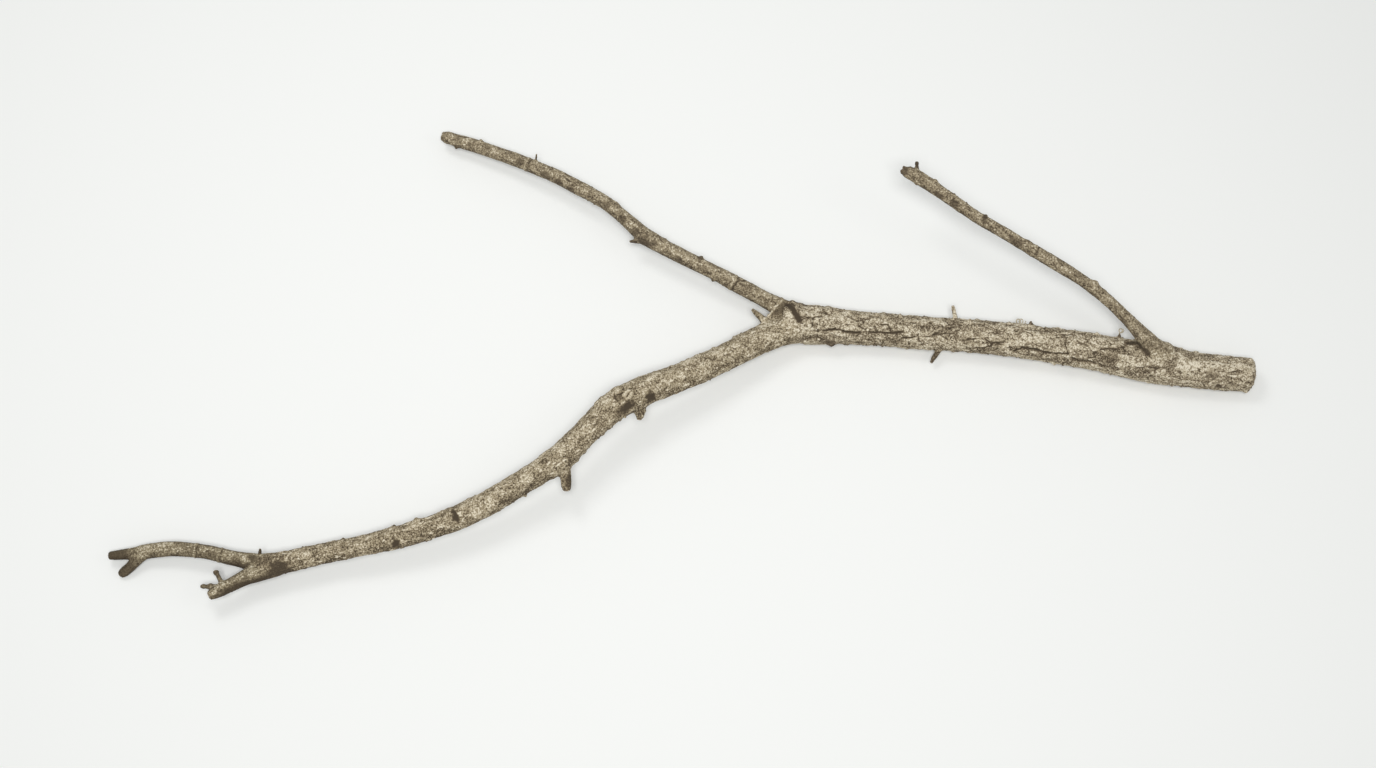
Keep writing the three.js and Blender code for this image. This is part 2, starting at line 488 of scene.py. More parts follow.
def mottled_bark(along, a, b):
    """Smoother bark with blotches and small raised pores: (height in mm, lightness, crack, fleck)."""
    drift = 0.5 * noise.noise_vector(Vector((along, a, b)) / 9)
    blotch = noise.noise(Vector((along / 9, a / 5, b / 5)) + drift)
    streak = noise.noise(Vector((along / 5.5, a / 1.5, b / 1.5)))
    middle, lot = grain_at(along, a, b, 2.4, 1.6)
    fleck = fleck_of(middle, lot, 0.02, 0.008)
    pore = max(0, grain_at(along + 300, a, b, 6, 4.5)[0] - 0.6)
    grit = noise.noise(Vector((along, a, b)) / 1.4)
    swell = noise.noise(Vector((along / 24, a / 9, b / 9)))
    height = blotch * 0.3 + streak * 0.15 + middle * 0.2 + pore * 0.8 + grit * 0.12 + swell * 0.75
    height += -0.35 - 0.6 * min(fleck, 0)
    light = 0.4 * blotch + 0.25 * streak + 0.15 * middle + 0.3 * grit
    return height, light, max(0, -0.2 - streak) * 1.2, fleck


def wrinkled_bark(along, a, b):
    """Young dark bark, finely wrinkled along the twig: (height in mm, lightness, crack, fleck)."""
    wrinkle = noise.noise(Vector((along / 9, a / 1.5, b / 1.5)))
    blotch = noise.noise(Vector((along / 9, a / 5, b / 5)))
    middle, lot = grain_at(along, a, b, 2.4, 1.6)
    grit = noise.noise(Vector((along, a, b)) / 1.4)
    swell = noise.noise(Vector((along / 18, a / 8, b / 8)))
    height = wrinkle * 0.25 + blotch * 0.25 + middle * 0.2 + grit * 0.12 + swell * 0.45
    light = 0.25 * wrinkle + 0.45 * blotch + 0.15 * middle + 0.25 * grit
    return height, light, max(0, -0.3 - wrinkle), fleck_of(middle, lot, 0.02, 0.02)


# For each kind of bark: its pattern, its middle lightness and how far that varies, how strongly painted
# light makes its upper side lighter and its under side darker, how strong its fine speckle is, and how much
# darker it is at the limb's far end.
BARK = {
    "fissured": dict(pattern=fissured_bark, base=0.55, spread=0.6, painted_top_light=0.1, speckle=1.0, dulling=0),
    "ridged": dict(pattern=ridged_bark, base=0.56, spread=0.48, painted_top_light=0.22, speckle=1.0, dulling=0.17),
    "mottled": dict(pattern=mottled_bark, base=0.53, spread=0.45, painted_top_light=0.2, speckle=0.88, dulling=0),
    "wrinkled": dict(pattern=wrinkled_bark, base=0.59, spread=0.5, painted_top_light=0.4, speckle=0.75, dulling=0),
}
PAINTED_LIGHT_FROM = np.array([0, 0.35, 0.94])  # the direction that painted light comes from
BLEND = 1.6  # mm over which one limb's pattern fades into the next
LEAST_SHARE = 0.02  # of a pattern that is still drawn
PATTERN_APART = 400  # mm from one limb's place in a pattern to the next limb's

outward = outward_now()
height = np.zeros(COUNT)
light = np.zeros(COUNT)
crack = np.zeros(COUNT)
fleck = np.zeros(COUNT)
share_sum = np.zeros(COUNT)
grain = np.zeros((COUNT, 3))  # the direction along the wood at each vertex
for i, limb_name in enumerate(LIMBS):
    body = surveys[LIMB_GROWTH[limb_name]]
    share = np.exp(-np.clip(limb_outside[i] - limb_outside.min(axis=0), 0, 40) / BLEND)
    share[limb_outside[i] > FAR / 2] = 0
    share[share < LEAST_SHARE] = 0
    here = np.flatnonzero(share)
    look = BARK[WOOD[limb_name]["bark"]]
    along = body["along"][here] + PATTERN_APART * i
    across = body["out"][here] * np.cos(body["angle"][here])
    around = body["out"][here] * np.sin(body["angle"][here])
    made = np.array([look["pattern"](*spot) for spot in zip(along, across, around)])
    height[here] += made[:, 0] * share[here]
    light[here] += made[:, 1] * share[here]
    crack[here] += made[:, 2] * share[here]
    fleck[here] += made[:, 3] * share[here]
    share_sum += share
    mine = owner[here] == i
    grain[here[mine]] = body["ahead"][here[mine]]
for column in (height, light, crack, fleck):
    column /= np.maximum(share_sum, 1e-6)

# The bark lies calmer in the corners between growths.
height *= 1 - 0.6 * corner_share

# Lightness becomes an even scale over each limb. Painted light makes its upper side lighter and its under
# side darker, some limbs are duller towards their far end, and the flecks are added.
tone = np.zeros(COUNT)
speckle = np.zeros(COUNT)
for i, limb_name in enumerate(LIMBS):
    look = BARK[WOOD[limb_name]["bark"]]
    mine = np.flatnonzero(owner == i)
    rank = np.argsort(np.argsort(light[mine], kind="stable"), kind="stable") / max(len(mine) - 1, 1)
    tone[mine] = look["base"] + look["spread"] * (rank - 0.5)
    # Painted light: bark that faces up and back is drawn lighter, and bark that faces down is drawn darker.
    tone[mine] += look["painted_top_light"] * (outward[mine] @ PAINTED_LIGHT_FROM - 0.7)
    g = LIMB_GROWTH[limb_name]
    tone[mine] -= look["dulling"] * surveys[g]["along"][mine] / GROWTHS[g]["heart"]["along"][-1]
    speckle[mine] = look["speckle"]
tone += (1.1 - tone) * np.maximum(fleck, 0)
tone *= 1 - 0.75 * np.maximum(-fleck, 0)

# Spurs are too thin for thick bark, and each has a tone of its own.
KNOT_RADIUS = 5  # a spur thicker than this is a knot, with bark like its limb's and no snapped end
thickness = np.array([g["heart"]["radius"].max() for g in GROWTHS])
spur_light = np.array([g["light"] for g in GROWTHS])
on_spur = spur_growth[nearest] & (thickness[nearest] < KNOT_RADIUS)
spur_share = smooth_rise(0, 2, gap_to_second) * on_spur
height *= 1 - 0.5 * spur_share
tone += (spur_light[nearest] + 0.45 * (tone - 0.5) - tone) * spur_share
speckle *= 1 - 0.3 * spur_share
crack *= 1 - spur_share

# Where the wood snapped, bare splintered wood with its growth rings shows instead of bark.
# The stem snapped at its thick end, and everything else at its thin end.
WORN_LENGTH = 7  # mm over which the bark is worn back towards a snapped end
SNAP_LENGTH = 3  # mm from the end within which bare wood shows
RING_WIDTH = 1.5  # mm from one growth ring to the next
bare = np.zeros(COUNT)
for g, growth in enumerate(GROWTHS):
    heart = growth["heart"]
    thick = heart["radius"][-1]
    if growth["spur"] and thickness[g] > KNOT_RADIUS:
        continue
    here = np.flatnonzero(nearest == g)
    body = surveys[g]
    to_end = body["along"][here] if g == 0 else heart["along"][-1] - body["along"][here]
    facing = np.abs((outward[here] * body["ahead"][here]).sum(axis=1))
    worn = np.clip(1 - to_end / WORN_LENGTH, 0, 1) ** 2 * np.clip(1 - facing, 0, 1)
    height[here] -= 0.22 * thick * worn
    bare[here] = smooth_rise(0.5, 0.85, facing) * (to_end < SNAP_LENGTH)
    for k in here[bare[here] > 0]:
        out = body["out"][k]
        across = out * math.cos(body["angle"][k])
        around = out * math.sin(body["angle"][k])
        _, lot = grain_at(7 * g, across, around, 1, 2.4)
        fibre = noise.noise(Vector((across, around, 7 * g)) / 1.3)
        ring = math.sin(2 * math.pi * out / RING_WIDTH + 2 * noise.noise(Vector((across, around, 0)) / 5))
        splinter = min(1, thick / 9) * (1.1 * lot - 0.7 + 0.5 * fibre)
        dome = 0.3 * thick * min(1, out / thick) ** 3
        height[k] += (splinter - dome - height[k]) * bare[k]
        tone[k] += (0.5 + 0.22 * ring + 0.25 * (lot - 0.5) + 0.3 * fibre - tone[k]) * bare[k]
speckle *= 1 - 0.5 * bare
crack *= 1 - bare

# A slow wander along the bark that keeps the edges of patches and cracks from being even.
wander = np.array([noise.noise_vector(Vector(spot) / 3.5) for spot in place])
wander -= (wander * outward).sum(axis=1)[:, None] * outward
DEEP = 6.0  # mm above or below the bark past which a mark doesn't reach it
KNOB_DEEP = 4.0  # the same for a knob


def along_bark(offset):
    """Offsets to the vertices without their part through the bark, and how long that part is."""
    through = (offset * outward).sum(axis=1)
    return offset - through[:, None] * outward, np.abs(through)


def along_line(points):
    """How far along the bark each vertex is from a line of points, with a wavering edge."""
    best = np.full(COUNT, FAR)
    for start, end in zip(points, points[1:]):
        start = np.array(start, float)
        run = np.array(end, float) - start
        share = np.clip((place - start) @ run / run.dot(run), 0, 1)
        offset, through = along_bark(place - start - share[:, None] * run)
        away = np.linalg.norm(offset + 0.9 * wander, axis=1)
        best = np.minimum(best, np.where(through < DEEP, away, FAR))
    return best


def within(at, long, wide, ragged=0.35):
    """1 at the middle of an oval patch that lies along the wood, 0 outside it, with a wavering edge."""
    at = np.array(at, float)
    way = grain[np.linalg.norm(place - at, axis=1).argmin()]
    offset, through = along_bark(place - at)
    offset += ragged * min(long, wide) * wander
    ahead = offset @ way
    aside = np.linalg.norm(offset - ahead[:, None] * way, axis=1)
    share = 1 - smooth_rise(0.55, 1.1, np.hypot(ahead / long, aside / wide))
    return share * (through < max(DEEP, 1.2 * wide))


# Knots, knobs and swollen nodes: (place, radius, height).
KNOBS = [
    ((88, 40, 33), 9, 1.2),
    ((87, 35, 33), 4, 1.2),
    ((82, 50, 30), 3.5, 1.8),
    ((92, 47, 31), 3.5, 1.8),
    ((100, 45, 30), 4, 1.2),
    ((126, 14, 16), 5, 3.8),
    ((116, 15, 21), 3.5, 1.6),
    ((73, 51, 31), 3.2, 1.6),
    ((110, 41, 30), 3, 1.8),
    ((118, 39, 30), 2.6, 1.8),
    ((124, 38, 29), 2.4, 1.8),
    ((131, 38, 29), 2.2, 2.2),
    ((142, 39, 27), 2.8, 2.0),
    ((148, 37, 27), 2.4, 1.9),
    ((165, 37, 26), 2.6, 1.8),
    ((172, 37, 26), 2.2, 1.6),
    ((186, 35, 27), 2.4, 2.7),
    ((200, 34, 26), 2.2, 1.6),
    ((247, 29, 27), 2.4, 2.3),
    ((314, 23, 28), 2.2, 1.6),
    ((357, 17, 27), 2.6, 2.0),
    ((299, 0, 21), 2, 1.8),
    ((311, -1, 22), 2, 1.8),
    ((327, -5, 20), 3, 3.2),
    ((135, 15, 19), 2, 1.5),
    ((233, 8, 11), 2.4, 1.8),
    ((-61, -44, 56), 8, 2.0),
    ((-74, -51, 54), 6, 1.3),
    ((-398, -197, 25), 2.6, 1.4),
    ((-402, -207, 24), 2.6, 1.1),
    ((-408, -208, 22), 2.2, 0.8),
    ((-54, -66, 50), 2.4, 2.2),
    ((-229, -155, 34), 3.6, 2.6),
    ((-138, -132, 36), 2.2, 2.4),
    ((12, 88, 34), 2.6, 1.9),
    ((22, 68, 30), 2.5, 2.2),
    ((-64, 141, 33), 5, 1.0),
    ((-187, 207, 22), 2.6, 2.0),
    ((-210, 204, 15), 2.6, 2.2),
    ((215, 137, 88), 4, 2.0),
    ((295, 85, 78), 5, 1.3),
    ((198, 135, 85), 2.6, 1.6),
    ((193, 148, 90), 2.5, 1.3),
    ((187, 142, 88), 2.5, 1.5),
    ((187, 150, 89), 2.2, 1.4),
    ((185, 146, 88), 2.0, 1.2),
    ((199, 154, 87), 2.2, 0.7),
    ((232, 127, 86), 2.0, 1.3),
    ((-85, 144, 31), 2.8, 0.8),
    ((-20, 105, 34), 2.8, 0.9),
    ((258, 107, 82), 2.4, 1.6),
    ((353, 52, 63), 4.5, 2.0),
    ((366, 36, 58), 4, 0.9),
    ((417, 4, 29), 8, 2.2),
    ((429, 0, 27), 6, 1.4),
]
for at, radius, rise in KNOBS:
    offset, through = along_bark(place - np.array(at, float))
    height += rise * np.exp(-(offset**2).sum(axis=1) / (0.5 * radius**2)) * (through < KNOB_DEEP)

# Round scars of lost twigs, with a pale eye inside a dark rim: (place, radius, height).
EYES = [
    ((-51, -49, 59), 6.0, 1.0),
]
for at, radius, rise in EYES:
    offset, through = along_bark(place - np.array(at, float))
    away = np.where(through < DEEP, np.linalg.norm(offset + 0.8 * wander, axis=1), FAR)
    eye = 1 - smooth_rise(0.6 * radius, radius, away)
    rim = np.exp(-(((away - radius) / 1.2) ** 2)) * np.clip(0.8 + 1.2 * wander[:, 1], 0, 1)
    height += rise * eye - 0.6 * rim
    tone += (0.85 - tone) * 0.8 * eye
    speckle *= 1 - 0.4 * eye
    tone *= 1 - 0.75 * rim

# Dark patches: stains of damp bark, and painted shade with some dirt in the corner where the side twig
# leaves the stem: (place, half length, half width, strength).
STAINS_AND_SHADE = [
    ((79, 37, 28), 7, 6, 0.6),
    ((-100, -83, 54), 2.2, 2.2, 0.6),
    ((-11, -27, 51), 1.8, 1.8, 0.5),
    ((-19, -43, 49), 1.8, 1.8, 0.5),
    ((-150, -137, 43), 2.2, 2.2, 0.6),
    ((-315, -184, 31), 1.6, 1.6, 0.6),
    ((99, 45, 30), 7, 4, 0.5),
    ((87, 48, 29), 5, 3.5, 0.55),
    ((84, 42, 31), 4.5, 4.5, 0.65),
    ((124, 14, 17), 8, 5, 0.8),
    ((-59, -53, 60), 4, 5, 0.6),
    ((-57, -64, 55), 7, 5, 0.8),
    ((-486, -178, 13), 12, 8, 0.75),
    ((-478, -189, 9), 12, 8, 0.7),
    ((-358, -189, 30), 8, 6, 0.5),
    ((-381, -211, 24), 22, 5, 0.9),
    ((-361, -202, 22), 14, 5, 0.85),
    ((-376, -190, 22), 13, 4, 0.8),
    ((-367, -185, 28), 5, 4, 0.6),
    # These four darken the corner where the side twig leaves the stem: painted shade there, with some dirt.
    ((386, 8, 31), 7.5, 4.5, 0.95),
    ((392, 4, 36), 5, 4, 0.9),
    ((398, -1, 34), 7, 4, 0.95),
    ((404, -14, 31), 7, 2.5, 0.5),
    ((-101.5, -121, 40), 8, 4, 0.8),
    ((187, 146, 89), 5, 4, 0.75),
    ((194, 149, 89), 4, 3, 0.7),
    ((188, 151, 88), 3, 3, 0.7),
    ((199, 153, 87), 3, 3, 0.5),
    ((205, 132, 84), 4, 2.5, 0.6),
    ((217, 124, 85), 5, 3, 0.8),
    ((230, 117, 85), 5, 3, 0.8),
    ((256, 101, 82), 4, 3, 0.6),
    ((283, 84, 78), 8, 4, 0.6),
    ((257, 105, 83), 3, 3, 0.95),
    ((-128, 170, 29), 5, 4, 0.65),
    ((-151, 183, 28), 5, 4, 0.6),
    ((-116, 163, 29), 5, 4, 0.7),
    ((-105, 156, 28), 5, 4, 0.65),
    ((-39, 102, 34), 9, 5, 0.8),
    ((-58, 124, 36), 5, 4, 0.65),
    ((-72, 138, 34), 5, 4, 0.6),
    ((-210, 204, 17), 5, 3, 0.5),
    ((11, 86, 36), 4, 3, 0.65),
    ((22, 69, 30), 3, 2.5, 0.55),
    ((367, -6, 31), 9, 6, 0.55),
    ((327, -6, 19), 5, 2.5, 0.8),
    ((182, 13, 23), 9, 4, 0.45),
    ((244, 11, 27), 6, 4, 0.45),
    ((270, 9, 29), 8, 5, 0.4),
    ((455, -20, 28), 7, 6, 0.4),
    ((-36, -53, 49), 4, 3, 0.4),
    ((-344, -195, 28), 13, 10, 0.97),
    ((-46, 112, 36), 4, 4, 0.65),
    ((-31, 99, 37), 4, 4, 0.5),
    ((-8, 85, 34), 5, 4, 0.65),
]
for at, long, wide, strength in STAINS_AND_SHADE:
    share = strength * within(at, long, wide)
    # Each patch is drawn darker: a stain, or painted shade in the side twig's corner.
    tone *= 1 - share
    speckle *= 1 - 0.85 * share

# Patches where the bark is bleached or has a pale crust: (place, half length, half width, strength).
BLEACHED = [
    ((90, 33, 34), 3.5, 3.5, 0.5),
    ((137, 20, 28), 1.6, 1.2, 0.9),
    ((157, 21, 29), 1.6, 1.2, 0.9),
    ((152, 17, 25), 1.6, 1.2, 0.9),
    ((158, 13, 19), 4, 1.2, 0.9),
    ((168, 15, 25), 4, 1.6, 0.7),
    ((310, 13, 32), 3, 1.2, 0.9),
    ((243, 7, 17), 5, 1.2, 0.8),
    ((171, 27.5, 31), 4, 1.0, 0.85),
    ((134, 31, 31), 4.5, 1.3, 0.7),
    ((302, 1.5, 25), 5, 1.0, 0.9),
    ((331, 17.5, 31), 2.5, 1.1, 0.9),
    ((342, 14, 31), 3, 1.1, 0.8),
    ((339, 9.5, 33), 3.5, 1.0, 0.9),
    ((353, 8, 33), 2.6, 1.2, 0.8),
    ((251, 6, 20), 1.5, 1.2, 0.9),
    ((409, -7, 36), 10, 6, 0.4),
    ((433, -14, 31), 11, 5, 0.9),
    ((440, -13, 31), 6, 4, 0.9),
    ((429, -9, 32), 4, 3, 0.7),
    ((-450, -173, 19), 18, 5, 0.35),
    ((-405, -218, 25), 2, 2, 0.7),
    ((-35, -45, 56), 3.5, 3.5, 0.5),
    ((-179, -149, 43), 7, 6, 0.5),
    ((-166, -139, 45), 6, 5, 0.5),
    ((-136, -120, 50), 7, 5, 0.5),
    ((-287, -173, 33), 3, 3, 0.4),
    ((-203, -161, 39), 3, 3, 0.4),
    ((-322, -183, 32), 5, 4, 0.4),
    ((267, 91, 77), 3, 3, 0.4),
]
for at, long, wide, strength in BLEACHED:
    share = strength * within(at, long, wide)
    tone += (1.05 - tone) * share
    crack *= 1 - share

# Ring scars left by bud scales: (limb, a place on it, half width, height, lightness).
RINGS = [
    ("upper_limb", (40, 65, 34), 1.3, 0.45, 0.85),
    ("upper_limb", (-143, 187, 29), 1.2, 0.5, 0.7),
    ("tip_twig", (-397, -181, 25), 1.0, 0.5, 0.8),
    ("tip_twig", (-418, -174, 23), 1.0, 0.5, 0.8),
    ("side_twig", (300, 78, 76), 1.0, 0.5, 0.75),
]
for limb_name, at, half_width, rise, lightness in RINGS:
    along = surveys[LIMB_GROWTH[limb_name]]["along"]
    on_limb = owner == LIMBS.index(limb_name)
    middle = along[np.linalg.norm(place - np.array(at, float), axis=1).argmin()]
    past = along - middle + 0.5 * wander[:, 0]
    share = np.exp(-((past / half_width) ** 2)) * on_limb
    height += rise * share
    tone += (lightness - tone) * 0.85 * share
    tone *= 1 - 0.65 * np.exp(-(((past + 2.2 * half_width) / (0.9 * half_width)) ** 2)) * on_limb

# Raised ridges of pale bark: (points along it, half width, height).
RIDGES = [
    ([(81, 47, 31), (74, 40, 27), (68, 32, 29), (61, 28, 31)], 1.5, 0.7),
]
for points, half_width, rise in RIDGES:
    share = 1 - smooth_rise(0.5 * half_width, 1.4 * half_width, along_line(points))
    height += rise * share
    tone += (0.9 - tone) * 0.85 * share

# Hollows, with painted shade inside them: (place, half length, half width, depth).
HOLLOWS = [
    ((-50.5, -59.5, 55), 8.5, 5, 0.7),
    ((-31.5, -49.5, 51), 4.8, 7.5, 0.6),
    ((-196, -152, 42), 3.4, 8, 0.4),
    ((-246, -175, 34), 4.6, 6.5, 0.4),
]
for at, long, wide, depth in HOLLOWS:
    share = within(at, long, wide, 0.6)
    height -= depth * share
    # painted shade: the inside of the hollow is drawn dark
    tone *= 1 - share
    speckle *= 1 - share

# Open cracks in the bark: (points along it, half width, depth).
CRACKS = [
    ([(135, 20, 28), (142, 19, 27), (150, 19, 27)], 1.25, 1.4),
    ([(159, 19, 28), (176, 18, 28), (187, 19, 29)], 1.2, 1.3),
    ([(187, 14, 26), (197, 15, 27)], 0.9, 1.0),
    ([(201, 17, 29), (202, 12, 24)], 0.7, 1.0),
    ([(215, 17, 29), (232, 18, 30)], 0.7, 1.0),
    ([(219, 24, 30), (232, 23, 30)], 0.6, 0.9),
    ([(244, 12, 28), (251, 13, 29)], 0.7, 1.0),
    ([(285, 3, 23), (291, 5, 27), (305, 3, 27), (315, 0, 26), (331, -1, 28)], 1.1, 1.4),
    ([(328, 8, 32), (330, 0, 29)], 0.8, 1.2),
    ([(334, -4, 26), (340, -6, 24), (353, -8, 25), (366, -12, 24)], 1.0, 1.3),
    ([(287, 24, 29), (297, 21, 30)], 0.7, 1.0),
    ([(191, 28, 30), (201, 27, 30)], 0.7, 1.0),
    ([(149, 24, 30), (155, 21, 29)], 0.7, 1.0),
    ([(168, 26, 30), (175, 25, 31), (177, 21, 30)], 0.8, 1.0),
    ([(202, 25, 30), (209, 24, 30)], 0.7, 1.0),
    ([(188, 27, 30), (192, 23, 31)], 0.6, 0.9),
    ([(154, 27, 30), (155, 31, 30), (166, 34, 29)], 0.7, 1.0),
    ([(139, 33, 30), (146, 31, 30)], 0.6, 0.9),
    ([(252, 7, 22), (258, 6, 23), (264, 7, 26), (266, 9, 28), (275, 10, 29)], 0.8, 1.1),
    ([(253, 26, 29), (262, 25, 29)], 0.7, 0.9),
    ([(266, 18, 31), (274, 16, 31)], 0.6, 0.9),
    ([(239, 6, 19), (246, 5, 18)], 0.9, 1.0),
    ([(278, 26, 28), (287, 26, 28)], 0.6, 0.9),
    ([(338, 10, 33), (347, 5, 33)], 0.7, 1.0),
    ([(321, 16, 32), (334, 16, 31)], 0.7, 1.0),
    ([(359, 2, 33), (375, 2, 33)], 0.9, 1.0),
    ([(377, 5, 33), (380, 0, 34)], 0.8, 1.0),
    ([(109, 30, 33), (108, 24, 31)], 0.7, 1.0),
    ([(98, 32, 34), (107, 31, 33), (117, 32, 32)], 0.8, 1.0),
    ([(103, 16, 23), (116, 16, 23)], 0.8, 1.2),
    ([(118, 20, 29), (126, 22, 29), (136, 21, 28)], 0.8, 1.0),
    ([(87, 44, 33), (91, 39, 36), (97, 29, 33)], 2.9, 1.6),
    ([(-49, -46.5, 59), (-52, -51.5, 59)], 0.65, 0.9),
    ([(39, 59, 30), (40, 61, 33), (42, 63, 34), (46, 66, 34), (51, 67, 32)], 0.75, 0.5),
    ([(-63, -50, 58), (-61, -54, 60), (-58, -58, 58)], 0.6, 0.5),
    ([(-60, -50, 59), (-55, -48, 59)], 0.8, 0.9),
]
for points, half_width, depth in CRACKS:
    share = 1 - smooth_rise(0.6 * half_width, 1.3 * half_width, along_line(points))
    height -= depth * share
    tone *= 1 - share
    speckle *= 1 - share

place += outward * height[:, None]
place[:, 2] = np.maximum(place[:, 2], 0)
outward = outward_now()


def linear(hex_colour):
    """An sRGB hex colour as linear red, green, blue and alpha."""
    channels = [int(hex_colour[k : k + 2], 16) / 255 for k in (1, 3, 5)]
    return [*(c / 12.92 if c <= 0.04045 else ((c + 0.055) / 1.055) ** 2.4 for c in channels), 1]


def node(tree, kind, inputs=None, **settings):
    """Adds a node, sets its properties, and sets or links its inputs."""
    made = tree.nodes.new(kind)
    for name, value in settings.items():
        setattr(made, name, value)
    for name, value in (inputs or {}).items():
        if isinstance(value, bpy.types.NodeSocket):
            tree.links.new(value, made.inputs[name])
        else:
            made.inputs[name].default_value = value
    return made


def new_material(name):
    """A material without nodes yet, and its node tree."""
    material = bpy.data.materials.new(name)
    material.use_nodes = True
    material.node_tree.nodes.clear()
    return material, material.node_tree


def give_surface(tree, looks):
    """Ends a material: a shader with these looks, and the output that it goes to."""
    surface = node(tree, "ShaderNodeBsdfPrincipled", looks)
    node(tree, "ShaderNodeOutputMaterial", {"Surface": surface.outputs["BSDF"]})


def colour_ramp(tree, value, colours):
    """Colours that follow a value from dark to light."""
    ramp = node(tree, "ShaderNodeValToRGB", {"Fac": value})
    stops = ramp.color_ramp.elements
    while len(stops) < len(colours):
        stops.new(0.5)
    for stop, (position, colour) in zip(stops, colours):
        stop.position = position
        stop.color = linear(colour)
    return ramp.outputs["Color"]


def pattern_scale(size):
    """The scale of a pattern in metres whose features are about a size in mm."""
    return 1 / (size * MM)


WAVER = 5 * MM  # how far the hairline cracks stray
GRIT_DEPTH = 0.5 * MM


def bark_material(name, colours, hairline):
    """Dry bark: matt and rough, dark in its crevices and painted lighter on top, with bare wood where it
    snapped.
    """
    material, tree = new_material(name)
    tone_here, speckle_here, crack_here, bare_here = (
        node(tree, "ShaderNodeAttribute", attribute_name=column).outputs["Fac"]
        for column in ("tone", "speckle", "crack", "bare")
    )
    place_here = node(tree, "ShaderNodeTexCoord").outputs["Object"]
    # The grit of real bark is finer than this. It is drawn at 1.3 mm so that it shows.
    grit = node(
        tree,
        "ShaderNodeTexNoise",
        {"Vector": place_here, "Scale": pattern_scale(1.3), "Detail": 1.0, "Roughness": 0.6},
    )
    broad = {"Vector": place_here, "Scale": pattern_scale(3), "Detail": 1.0}
    wave = node(tree, "ShaderNodeTexNoise", broad)
    lift = node(
        tree,
        "ShaderNodeMapRange",
        {"Value": grit.outputs["Fac"], "From Min": 0.3, "From Max": 0.7, "To Min": -0.46, "To Max": 0.46},
    )
    speckled = node(
        tree,
        "ShaderNodeMath",
        {0: lift.outputs["Result"], 1: speckle_here, 2: tone_here},
        operation="MULTIPLY_ADD",
    )
    # Hairline cracks round scales of about 4.2 mm, waved by the noise so that they don't run straight.
    waved = node(
        tree,
        "ShaderNodeVectorMath",
        {0: wave.outputs["Color"], 1: (WAVER, WAVER, WAVER), 2: place_here},
        operation="MULTIPLY_ADD",
    )
    scales = node(
        tree,
        "ShaderNodeTexVoronoi",
        {"Vector": waved.outputs["Vector"], "Scale": pattern_scale(4.2)},
        feature="DISTANCE_TO_EDGE",
    )
    # The noise also widens some of the hairlines and closes others.
    from_hairline = node(
        tree,
        "ShaderNodeMath",
        {0: wave.outputs["Fac"], 1: 0.55, 2: scales.outputs["Distance"]},
        operation="MULTIPLY_ADD",
    )
    beside_hairline = node(
        tree,
        "ShaderNodeMapRange",
        {"Value": from_hairline.outputs["Value"], "From Min": 0.24, "From Max": 0.38, "To Min": hairline},
        interpolation_type="SMOOTHSTEP",
    )
    # The open crack is drawn with a sharp edge, finer than the mesh.
    beside_crack = node(
        tree,
        "ShaderNodeMapRange",
        {"Value": crack_here, "From Min": 0.2, "From Max": 0.7, "To Min": 1.0, "To Max": 0.12},
        interpolation_type="SMOOTHSTEP",
    )
    both_cracks = node(
        tree,
        "ShaderNodeMath",
        {0: beside_hairline.outputs["Result"], 1: beside_crack.outputs["Result"]},
        operation="MULTIPLY",
    )
    cracked = node(
        tree,
        "ShaderNodeMath",
        {0: speckled.outputs["Value"], 1: both_cracks.outputs["Value"]},
        operation="MULTIPLY",
    )
    bark = colour_ramp(tree, cracked.outputs["Value"], colours)
    wood = colour_ramp(tree, speckled.outputs["Value"], BARE_WOOD)
    mixed = node(tree, "ShaderNodeMix", {"Factor": bare_here, 6: bark, 7: wood}, data_type="RGBA")
    relief = {"Height": grit.outputs["Fac"], "Strength": 0.4, "Distance": GRIT_DEPTH}
    bump = node(tree, "ShaderNodeBump", relief)
    matt = {"Roughness": 0.92, "Specular IOR Level": 0.2, "Normal": bump.outputs["Normal"]}
    give_surface(tree, {"Base Color": mixed.outputs[2], **matt})
    return material


# The colours of each kind of bark, and of the bare wood, from darkest to lightest.
BARE_WOOD = [(0.0, "#564938"), (0.35, "#847460"), (0.7, "#aea089"), (1.0, "#d4cab4")]
STEM_TONES = [(0.0, "#4c4235"), (0.2, "#7b6e5a"), (0.45, "#a59880"), (0.7, "#c2b69d"), (1.0, "#e0d7c3")]
LIMB_TONES = [(0.0, "#4c4235"), (0.2, "#776a55"), (0.45, "#a09379"), (0.75, "#bfb299"), (1.0, "#e0d7c2")]
TWIG_TONES = [(0.0, "#4a4034"), (0.25, "#6f6350"), (0.55, "#93866e"), (0.85, "#b6a98f"), (1.0, "#d9d0bb")]
YOUNG_TONES = [(0.0, "#463c2f"), (0.3, "#655a48"), (0.6, "#857962"), (0.9, "#afa388"), (1.0, "#d2c9b4")]
MATERIALS = {
    "fissured": bark_material("corky_bark", STEM_TONES, 0.35),
    "ridged": bark_material("limb_bark", LIMB_TONES, 0.5),
    "mottled": bark_material("twig_bark", TWIG_TONES, 0.65),
    "wrinkled": bark_material("young_bark", YOUNG_TONES, 0.65),
}

# The values at each vertex that the materials read, and the direction that it is shaded with.
for name, values in (("tone", tone), ("speckle", speckle), ("crack", crack), ("bare", bare)):
    column = skin.attributes.new(name, "FLOAT", "POINT")
    column.data.foreach_set("value", values.astype(np.float32))
column = skin.attributes.new("outward", "FLOAT_VECTOR", "POINT")
column.data.foreach_set("vector", outward.astype(np.float32).ravel())

# The skin is split where the limbs meet, and each part is closed with a hidden face inside the fork.
loop_corner = column_of(skin.loops, "vertex_index", np.int32)
loop_edge = column_of(skin.loops, "edge_index", np.int32)
face_size = column_of(skin.polygons, "loop_total", np.int32)
face_of_loop = np.repeat(np.arange(len(face_size)), face_size)
face_outside = [np.bincount(face_of_loop, column[loop_corner]) for column in even_outside.T]
face_owner = np.argmin(face_outside, axis=0)

